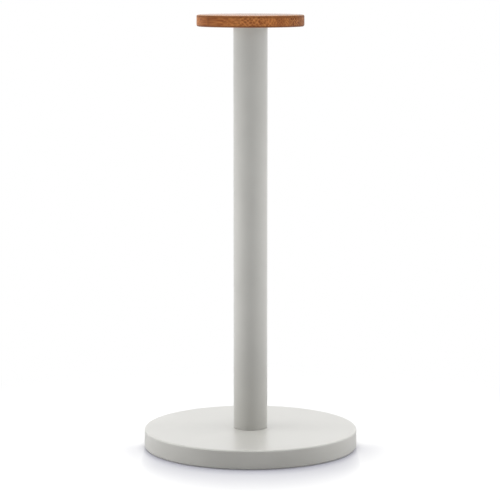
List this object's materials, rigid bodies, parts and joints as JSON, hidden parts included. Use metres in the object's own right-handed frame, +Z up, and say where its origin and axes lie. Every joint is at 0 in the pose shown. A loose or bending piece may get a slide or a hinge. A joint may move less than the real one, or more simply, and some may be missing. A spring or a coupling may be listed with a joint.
{
  "type": "paper towel holder",
  "caption": "Free-standing paper towel holder: a weighted round base, a straight tubular post and a bamboo disc cap that pulls off the post so that a roll can be slid on.",
  "frame": {"origin": "centre of the foot pad's underside, on the surface that the holder stands on", "axes": "+Z up along the post; -Y is towards the viewer of the picture and +X is to the right"},
  "size_m": [0.16, 0.16, 0.3243],
  "materials": {
    "painted_steel": "satin warm light grey powder coat",
    "bamboo": "oiled, carbonised brown",
    "plug_plastic": "moulded, fine satin",
    "silicone": "soft satin",
    "cover_plastic": "moulded, fine grain",
    "foam_rubber": "closed-cell foam, matt",
    "cast_iron": "as cast, blackened",
    "zinc_steel": "bright zinc plate"
  },
  "bodies": {
    "stand": {"base_shell": "painted_steel", "base_ballast": "cast_iron", "bottom_cover": "cover_plastic", "cover_screws": "zinc_steel", "foot_pad": "foam_rubber", "post_bolt": "zinc_steel", "flat_washer": "zinc_steel", "spring_washer": "zinc_steel", "post_tube": "painted_steel", "foot_plug": "zinc_steel"},
    "seals": {"upper_seal_ring": "silicone", "lower_seal_ring": "silicone"},
    "cap": {"cap_disc": "bamboo", "cap_plug": "plug_plastic", "cap_screws": "zinc_steel"}
  },
  "joints": [
    {"name": "cap_lift", "type": "slide", "parent": "stand", "child": "seals", "axis": [0, 0, 1], "range_m": [0, 0.32]},
    {"name": "cap_turn", "type": "hinge", "parent": "seals", "child": "cap", "pos_m": [0, 0, 0.307], "axis": [0, 0, 1], "continuous": true}
  ]
}
